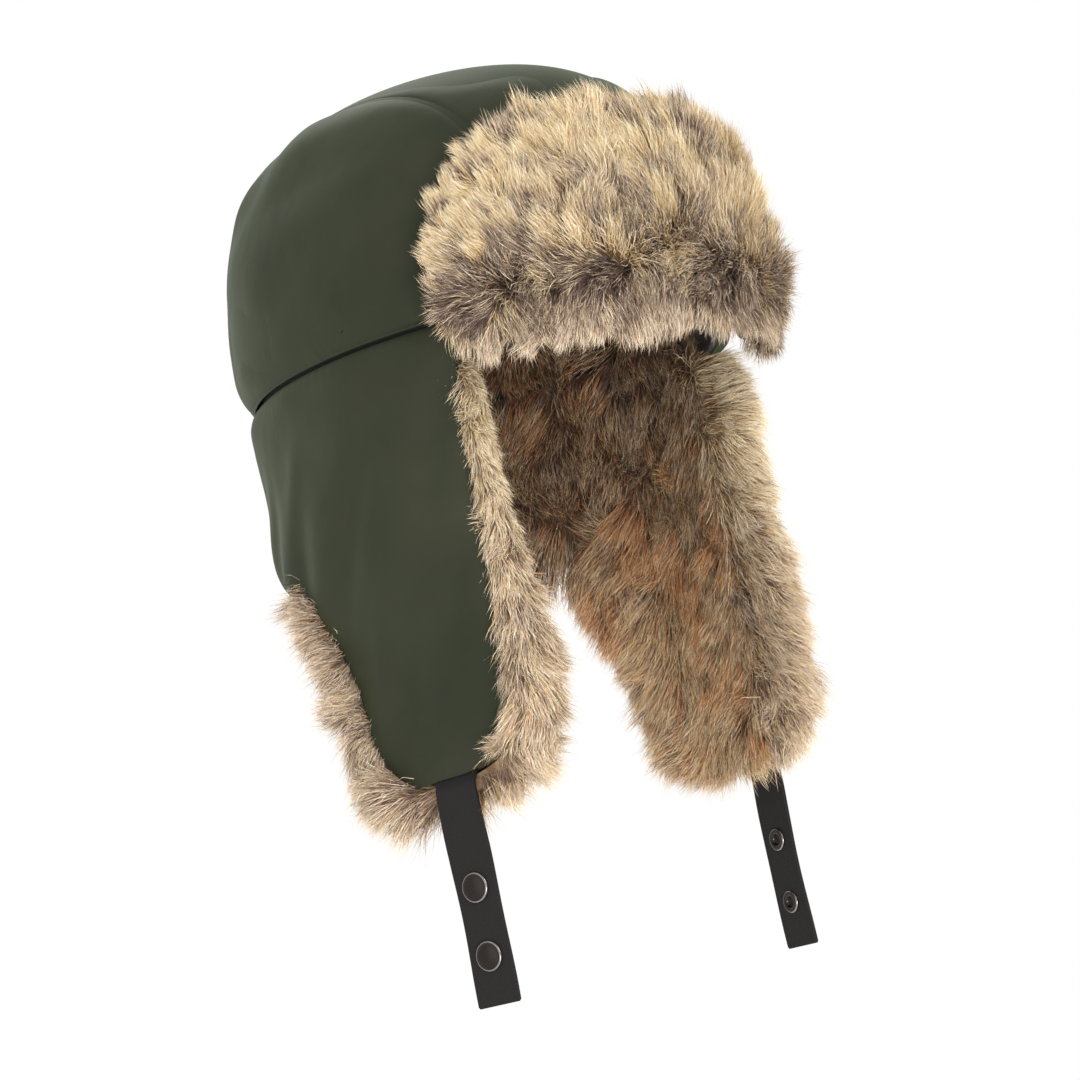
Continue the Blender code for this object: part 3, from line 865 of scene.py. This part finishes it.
def neck_fur():
    """The fur lining behind the band, from one side of the face round the neck to the other."""
    angle = np.linspace(FACE_ANGLE + 1, 359 - FACE_ANGLE, 170)[:, None]
    share = np.linspace(0, 1, 36)[None]
    foot = band_hem(angle) - 3.0 * smooth(100, 120, np.minimum(angle, 360 - angle))
    height = 0.5 + (foot - 0.5) * share
    droop = smooth(0.9, 1.0, share)
    outer = band_surface(angle, height, 7.6 + 1.5 * droop)
    inner = band_surface(angle, height, PAD_INNER - 1.5 * droop)
    base = layered("neck_pad", outer, inner, False, False, UNDERCOAT_DARK)

    def weight(p, n):
        inside = (facing_out(p, n) < -0.3) & (np.abs(angle_of(p)) > FACE_ANGLE + 4)
        rim = (n[:, 2] < -0.5) & (np.abs(angle_of(p)) > NECK_ANGLE + 3)
        return np.where(inside, 1.0, np.where(rim, 4.0, 0.0))

    def comb(p, n):
        return DOWN + round_about(p) * (0.3 * waves(p, 36.0, 62))[:, None] + 0.25 * outward_of(p)

    def coat(p, rng):
        return lining_coat(p, rng, smooth(-62, -84, p[:, 2]))

    def length(p):
        corner = smooth(150, 122, np.abs(angle_of(p))) * smooth(-66, -78, p[:, 2])
        return 16.0 + 9.0 * corner

    strands = grow("neck_fur", base, STRANDS["neck"], weight, comb, length, coat, lift=0.62)
    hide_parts("neck_fur")
    for item in [base] + strands:
        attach(item, "crown")


def crown_fur():
    """The fur lining carries on up inside the crown, over the foot of the quilted lining."""
    lift = np.linspace(22, 0.5, 24)[None]
    angle = np.linspace(52, 308, 190)[:, None]
    outer, inner = (inside_dome(lift, angle, inset) for inset in (10.0, 13.5))
    base = layered("crown_pad", outer, inner, False, False, UNDERCOAT_DARK)

    def weight(p, n):
        return np.where(facing_out(p, n) < -0.3, 1.0, 0.0)

    def comb(p, n):
        return DOWN + round_about(p) * (0.3 * waves(p, 36.0, 65))[:, None]

    def length(p):
        return np.full(len(p), 15.0)

    def coat(p, rng):
        return lining_coat(p, rng, 0.0)

    strands = grow("crown_fur", base, STRANDS["crown"], weight, comb, length, coat, lift=0.62)
    for item in [base] + strands:
        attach(item, "crown")


def visor_edge(grow_by, count):
    """The visor's outline, as angles and heights, grown by some millimetres."""
    half = VISOR_ANGLE + grow_by * VISOR_DEGREES_PER_MM
    low, high, corner = VISOR_FOOT, VISOR_TOP + grow_by, VISOR_CORNER
    turn = np.linspace(0, 2 * math.pi, count, endpoint=False)
    c, s = np.cos(turn), np.sin(turn)
    angle = np.sign(c) * np.abs(c) ** np.where(s > 0, 0.55, 0.42) * half
    up = low + corner + np.abs(s) ** 0.7 * (high - low - corner)
    down = low + corner - np.abs(s) ** 0.42 * corner
    return np.stack([angle, np.where(s > 0, up, down)], 1)


def visor_backing():
    """The nylon back of the visor, which faces the crown."""
    edge = visor_edge(0.0, 220)[:, None]
    share = np.linspace(0, 1, 34)[None, :, None]
    center = np.array([0.0, (VISOR_FOOT + VISOR_TOP) / 2])
    place = center + (edge - center) * share
    back = visor_surface(place[..., 0], place[..., 1], 0.4)
    ripple = 0.5 * waves(back, 30.0, 81) + 0.25 * waves(back, 12.0, 82)
    inner = visor_surface(place[..., 0], place[..., 1], 0.4 + ripple)
    outer = visor_surface(place[..., 0], place[..., 1], 3.4)
    made = layered("visor_back", outer, inner, True, True, NYLON)
    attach(made, "visor")
    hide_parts("visor_backing", "visor_stiffener")


def visor_pad():
    """The plump body that the visor's fur grows from."""
    edge = visor_edge(1.0, 200)[:, None]
    s = np.concatenate([np.linspace(0, 0.85, 26), np.linspace(0.88, 1, 9)])[None, :, None]
    center = np.array([0.0, (VISOR_FOOT + VISOR_TOP) / 2])
    place = center + (edge - center) * s
    s = s[..., 0]
    round_off = np.sqrt(np.maximum(1 - s ** 10, 0.0))
    lumps = 1.2 * waves(visor_surface(place[..., 0], place[..., 1], 8.0), 28.0, 83) * round_off
    crowned = (2.5 + 3.5 * (1 - s ** 4)) * round_off
    outer = visor_surface(place[..., 0], place[..., 1], 6.5 + crowned + lumps)
    inner = visor_surface(place[..., 0], place[..., 1], 6.5 - 2.7 * round_off)
    return layered("visor_pad", outer, inner, True, True, UNDERCOAT_LIGHT)


def visor_fur():
    """The visor's fur: up from a dark band near its foot, and down below it as a fringe."""
    base = visor_pad()

    def weight(p, n):
        facing = facing_out(p, n)
        foot = (p[:, 2] < VISOR_FOOT + 6) & (facing < 0.1)
        rim = np.where(foot, 0.0, 1.6)
        return np.where(facing > 0.2, 1.0, np.where(facing > -0.75, rim, 0.0))

    def comb(p, n):
        a = angle_of(p)
        up = smooth(-8, 18, p[:, 2] + 5 * waves(p, 34.0, 63)) * 2 - 1
        sides = np.sign(a) * smooth(30, 56, np.abs(a)) * (0.3 + 0.7 * smooth(-8, 20, p[:, 2]))
        wave = 0.25 * waves(p, 34.0, 64) - 0.5 * smooth(-45, -25, a) * smooth(62, 45, a)
        return -DOWN * up[:, None] + round_about(p) * (sides * 0.9 + wave)[:, None]

    def length(p):
        low = smooth(10, -15, p[:, 2])
        a = angle_of(p)
        ends = smooth(34, 54, np.abs(a))
        fringe = np.where(a < 0, 11.0, 5.0)
        return 20.0 - 3.0 * low + ends * (fringe * low - 6.0)

    def coat(p, rng):
        h = p[:, 2] + 4 * waves(p, 38.0, 74)
        patches = waves(p * np.array([1.0, 1.0, 0.55]), 14.0, 75)
        spots = smooth(0.1, 0.5, patches) * smooth(72, 60, h) * smooth(0, 12, h)
        shade = smooth(40, 8, h)
        band = smooth(14, 6, h) * smooth(-13, -7, h) * smooth(-1.4, 0.2, waves(p, 24.0, 78))
        roll = smooth(-7, -13, h)
        light = (1 - 0.95 * band) * (1 - 0.8 * spots) * (1 - 0.8 * roll) * (1 - 0.2 * shade)
        return choose(rng, {
            "cream": light,
            "gold": light,
            "tan": 0.35 * light + 0.15 * band + 0.1 * shade,
            "agouti": 0.03 + 0.8 * spots + 1.2 * band + 0.08 * shade + 0.3 * roll,
            "grey": 0.06 + 0.5 * spots + 0.4 * band + 0.1 * shade + 0.5 * roll,
            "umber": spots + 3.8 * band + 0.04 * shade + 0.2 * roll,
            "rose": 0.03 + 1.3 * roll + 0.12 * band,
        })

    strands = grow("visor_fur", base, STRANDS["visor"], weight, comb, length, coat, lift=0.75, clump=0.6)
    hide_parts("visor_fur")
    for item in [base] + strands:
        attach(item, "visor")


# ---------------------------------------------------------------- inside


def crown_lining():
    """The quilted lining inside the crown."""
    lift = np.linspace(90, 0, 70)[None]
    angle = np.linspace(0, 360, 220, endpoint=False)[:, None]
    p = inside_dome(lift, angle, 9.0)
    one = np.abs(np.sin((p[..., 0] + p[..., 1]) * math.pi / 48))
    two = np.abs(np.sin((p[..., 0] - p[..., 1]) * math.pi / 48))
    quilt = 2.2 * np.minimum(one, two) ** 0.6
    outer = inside_dome(lift, angle, 8.6)
    inner = inside_dome(lift, angle, 9.2 + quilt)
    made = layered("crown_quilt", outer, inner, True, True, LINING_CLOTH)
    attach(made, "crown")
    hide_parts("crown_lining")


def sweatband():
    """The dark facing behind the brow, in soft horizontal folds."""
    angle = np.linspace(1 - FACE_ANGLE, FACE_ANGLE - 1, 130)[:, None]
    height = np.linspace(-1.8, BROW_HEM + 0.5, 16)[None]
    fold = 0.5 * np.sin((height + 3) / 2.4)
    outer = band_surface(angle, height, 7.2)
    inner = band_surface(angle, height, 9.6 + fold + 0.3 * np.sin(angle * 0.9))
    made = layered("brow_facing", outer, inner, False, False, FACING_CLOTH)
    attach(made, "crown")
    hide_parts("sweatband")


# ---------------------------------------------------------------- straps and snaps


class StrapFrame:
    """Places on a chin strap: out from the hat, across the webbing, and height in the hat's frame."""

    def __init__(self, sign):
        turn = math.radians(STRAP_ANGLE)
        self.out = unit(np.array([sign * math.sin(turn) / BAND[0], -math.cos(turn) / BAND[1], 0.0]))
        self.across = np.cross([0.0, 0.0, 1.0], self.out)
        self.root = band_surface(sign * STRAP_ANGLE, np.array(STRAP_ROOT), STRAP_DEPTH)

    def place(self, out, across, height):
        out, across, height = np.broadcast_arrays(out, across, height)
        base = self.root * np.array([1.0, 1.0, 0.0])
        up = np.array([0.0, 0.0, 1.0])
        return base + out[..., None] * self.out + across[..., None] * self.across + height[..., None] * up


def strap_sway(height):
    """How far the hanging strap stands out from a straight drop, in millimetres."""
    return 0.9 * np.sin((height - STRAP_ROOT) / 26.0)


def strap(side, sign):
    """One length of webbing, from under the shell's edge down to its square end."""
    axes = StrapFrame(sign)
    half = STRAP_WIDTH / 2
    down = np.linspace(STRAP_TOP, STRAP_END, 120)[:, None]
    over = np.linspace(-1, 1, 25)[None]
    corner = np.clip((STRAP_END + STRAP_CORNER - down) / STRAP_CORNER, 0, 1)
    width = half - STRAP_CORNER * (1 - np.sqrt(1 - corner ** 2)) + 0.25 * np.sin(down / 9.0)
    tucked = 4.5 * smooth(-188, STRAP_TOP, down)
    out = strap_sway(down) * smooth(-196, -215, down) - tucked
    stitch = 0.16 * np.exp(-((np.abs(over) - 0.84) / 0.045) ** 2) * (np.sin(down * 2.4) > -0.2)
    hem = 0.12 * smooth(0.86, 0.95, np.abs(over))
    thick = STRAP_THICKNESS / 2 - 0.25 * smooth(0.9, 1.0, np.abs(over))
    outer = axes.place(out + thick - stitch + hem, over * width, down)
    inner = axes.place(out - thick + stitch - hem, over * width, down)
    made = layered("chin_strap_" + side, outer, inner, False, False, WEBBING)
    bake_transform(made)
    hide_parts("strap_" + side, "strap_tab_" + side)


def lathe(name, axes, height, face, profile):
    """A turned snap piece on a strap face. profile is (radius, distance from the face)."""
    turn = np.linspace(0, 2 * math.pi, 56, endpoint=False)[:, None]
    radius, rise = np.array(profile).T
    out = strap_sway(height) + face * (STRAP_THICKNESS / 2 + rise)[None] + 0 * turn
    points = axes.place(out, radius[None] * np.cos(turn), height + radius[None] * np.sin(turn))
    rows, cols = points.shape[:2]
    i, j = np.meshgrid(np.arange(rows), np.arange(cols - 1), indexing="ij")
    a, b = (i * cols + j).ravel(), (((i + 1) % rows) * cols + j).ravel()
    # The faces near the outer rim that stand off the strap take the lighter metal: a painted highlight ring.
    highlight_ring = ((radius[:-1] + radius[1:]) / 2 > 0.9 * radius.max()) & (rise[:-1] > 0.3)
    faces = np.stack([a, b, b + 1, a + 1], 1)
    made = mesh_object(name, points.reshape(-1, 3), faces, highlight_ring[j.ravel()], [GUNMETAL, RIM_HIGHLIGHT_METAL])
    tidy_body(made)
    return made


# A snap's pieces as (radius, distance from the strap's face), from the hidden side round the rim.
CAP = (
    (0, -0.3), (5.6, -0.3), (6.05, 0.05), (6.25, 0.5), (6.2, 0.85), (5.95, 1.15), (5.55, 1.28),
    (5.3, 1.18), (5.1, 1.02), (4.8, 1.0), (3.5, 1.25), (1.8, 1.42), (0, 1.48),
)
SOCKET = (
    (0, -0.2), (4.9, -0.2), (5.2, 0.3), (5.1, 1.4), (4.6, 2.0), (3.0, 2.1), (2.4, 1.8), (2.2, 0.6),
    (0, 0.6),
)
STUD = (
    (0, -0.2), (4.8, -0.2), (5.0, 0.3), (4.5, 0.9), (2.4, 1.1), (1.9, 1.7), (2.3, 2.4), (1.9, 3.0),
    (0, 3.2),
)
POST = (
    (0, -0.3), (4.7, -0.3), (5.1, 0.1), (5.05, 0.5), (4.5, 0.95), (3.6, 1.1), (2.8, 0.95),
    (2.3, 0.4), (2.0, -0.2), (0, -0.25),
)

# Each side's pieces: the kind, its profile, and 1 for the strap's outer face or -1 for its inner one.
SNAP_PIECES = {
    "right": (("cap", CAP, 1.0), ("socket", SOCKET, -1.0)),
    "left": (("stud", STUD, 1.0), ("post", POST, -1.0)),
}


def snaps(side, sign):
    """The two snaps on a strap, each of an outer and an inner piece."""
    axes = StrapFrame(sign)
    lowest = STRAP_END + SNAP_FROM_END
    for place, height in (("lower", lowest), ("upper", lowest + SNAP_SPACING)):
        for kind, profile, face in SNAP_PIECES[side]:
            node = "snap_" + kind + "_" + place + "_" + side
            made = lathe(node + "_metal", axes, height, face, profile)
            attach(made, "chin_" + side)
            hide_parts(node)


# ---------------------------------------------------------------- stage


def camera_axes():
    """The camera's right, up and back directions in the hat's frame."""
    turn, pitch = math.radians(CAMERA_TURN), math.radians(HAT_PITCH)
    tilt = Matrix.Rotation(-pitch, 3, "X")
    right = Vector((math.cos(turn), math.sin(turn), 0.0)) @ tilt
    back = Vector((math.sin(turn), -math.cos(turn), 0.0)) @ tilt
    up = Vector((0.0, 0.0, 1.0)) @ tilt
    return right, up, back


def set_camera():
    right, up, back = camera_axes()
    data = bpy.data.cameras.new("camera")
    data.lens = CAMERA_LENS
    data.sensor_width = 36.0
    item = bpy.data.objects.new("camera", data)
    bpy.context.scene.collection.objects.link(item)
    place = back * CAMERA_DISTANCE
    aim = right * AIM_RIGHT + up * AIM_UP
    z = (place - aim).normalized()
    x = up.cross(z).normalized()
    y = z.cross(x)
    turned = Matrix((x, y, z)).transposed().to_4x4()
    item.matrix_world = Matrix.Translation(place) @ turned
    bpy.context.scene.camera = item


def area_light(name, place, size, power):
    """A lamp aimed at the origin. place is metres to the camera's right, up and towards it."""
    right, up, back = camera_axes()
    data = bpy.data.lights.new(name, "AREA")
    data.size = size
    data.energy = power
    item = bpy.data.objects.new(name, data)
    bpy.context.scene.collection.objects.link(item)
    spot = right * place[0] + up * place[1] + back * place[2]
    item.matrix_world = Matrix.Translation(spot) @ spot.to_track_quat("Z", "Y").to_matrix().to_4x4()


def studio():
    """A white room with soft lamps and a pale floor."""
    world = bpy.data.worlds.new("studio")
    world.use_nodes = True
    sky = world.node_tree.nodes["Background"]
    sky.inputs["Color"].default_value = (1.0, 1.0, 1.0, 1.0)
    sky.inputs["Strength"].default_value = 1.0
    bpy.context.scene.world = world
    area_light("key", (0.9, 1.3, 1.6), 1.2, 20.0)
    area_light("fill", (-1.6, 0.2, 1.4), 1.4, 5.0)
    area_light("under", (0.35, -0.5, 1.5), 0.8, 26.0)
    area_light("rim", (-0.6, 1.4, -1.2), 1.0, 10.0)
    floor_material, _, shader = new_material("floor", (255, 255, 255), 0.9)
    shader.inputs["Emission Color"].default_value = (1.0, 1.0, 1.0, 1.0)
    shader.inputs["Emission Strength"].default_value = 0.1
    corners = np.array([[x * FLOOR_REACH, y * FLOOR_REACH, FLOOR_HEIGHT] for x, y in SQUARE])
    floor = mesh_object("floor", corners, np.array([[0, 1, 2, 3]]), materials=[floor_material])
    bpy.context.scene.view_settings.view_transform = "Standard"


def build():
    center_panel()
    band_cover()
    visor_backing()
    visor_fur()
    neck_fur()
    crown_lining()
    crown_fur()
    sweatband()
    for side, sign in SIDES.items():
        side_panel(side, sign)
        ear_cover(side, sign)
        ear_fur(side, sign)
        strap(side, sign)
        snaps(side, sign)
    studio()
    set_camera()


build()
